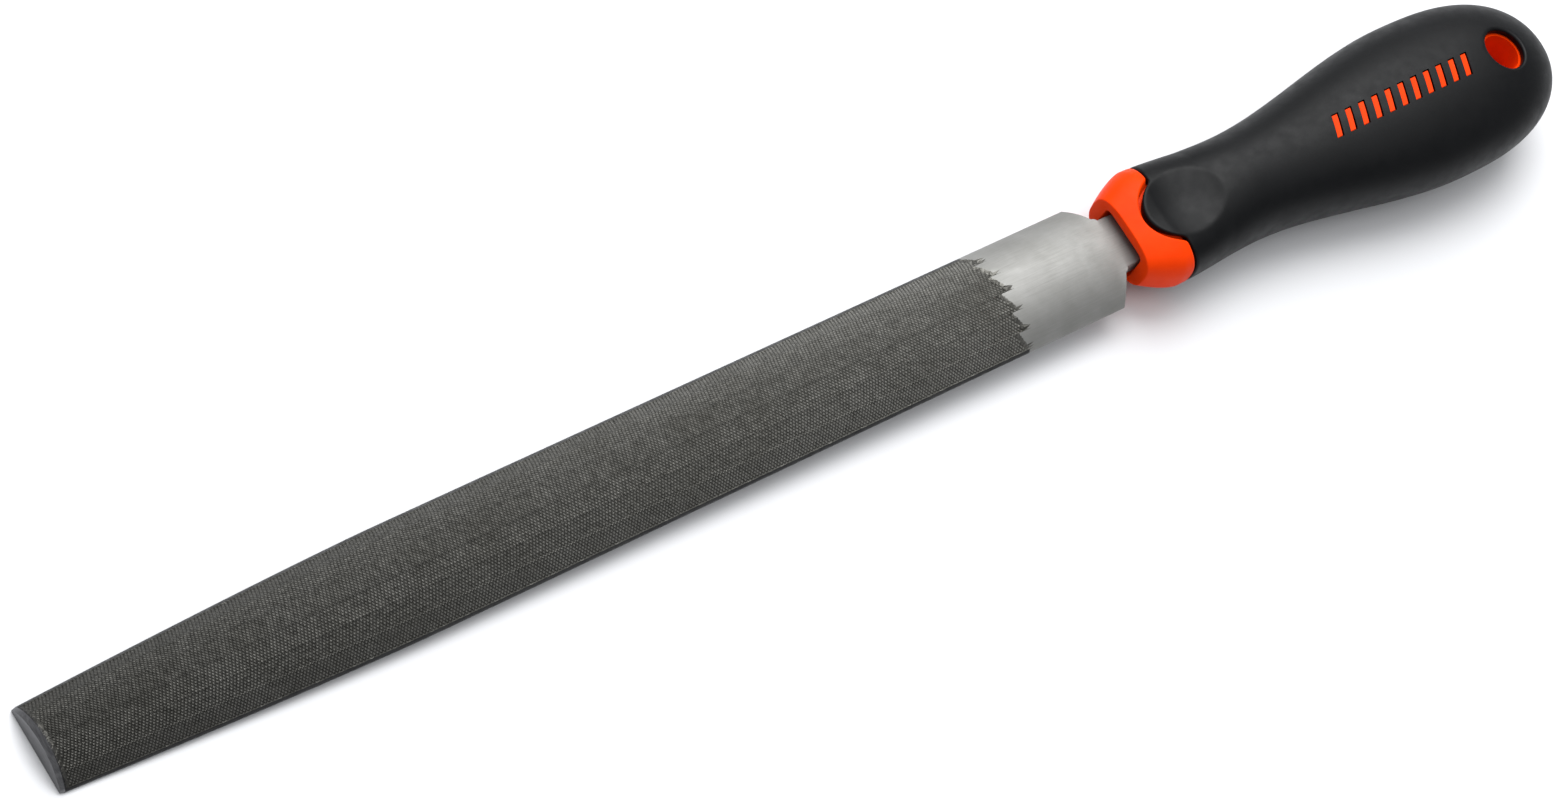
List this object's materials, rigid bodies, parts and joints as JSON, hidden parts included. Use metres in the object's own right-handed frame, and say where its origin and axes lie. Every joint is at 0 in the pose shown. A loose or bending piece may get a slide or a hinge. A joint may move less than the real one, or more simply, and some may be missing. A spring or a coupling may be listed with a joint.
{
  "type": "half-round hand file",
  "caption": "Half-round hand file with a tapered double-cut blade, bare heel and tang, and a two-shot handle with a thumb recess and a hanging hole.",
  "frame": {"origin": "middle of the blade's flat face, on the file's centre line", "axes": "+X along the file from the tip to the butt, +Z out of the half-round face, +Y across the blade"},
  "size_m": [0.3737, 0.0366, 0.025],
  "materials": {
    "blade_steel": "hardened tool steel, grey cut teeth, bare ground heel",
    "core_plastic": "moulded orange polypropylene, satin",
    "grip_rubber": "moulded black thermoplastic elastomer, soft satin"
  },
  "bodies": {
    "root": {"file_blade": "blade_steel", "handle_core": "core_plastic", "grip_overmould": "grip_rubber"}
  },
  "joints": []
}
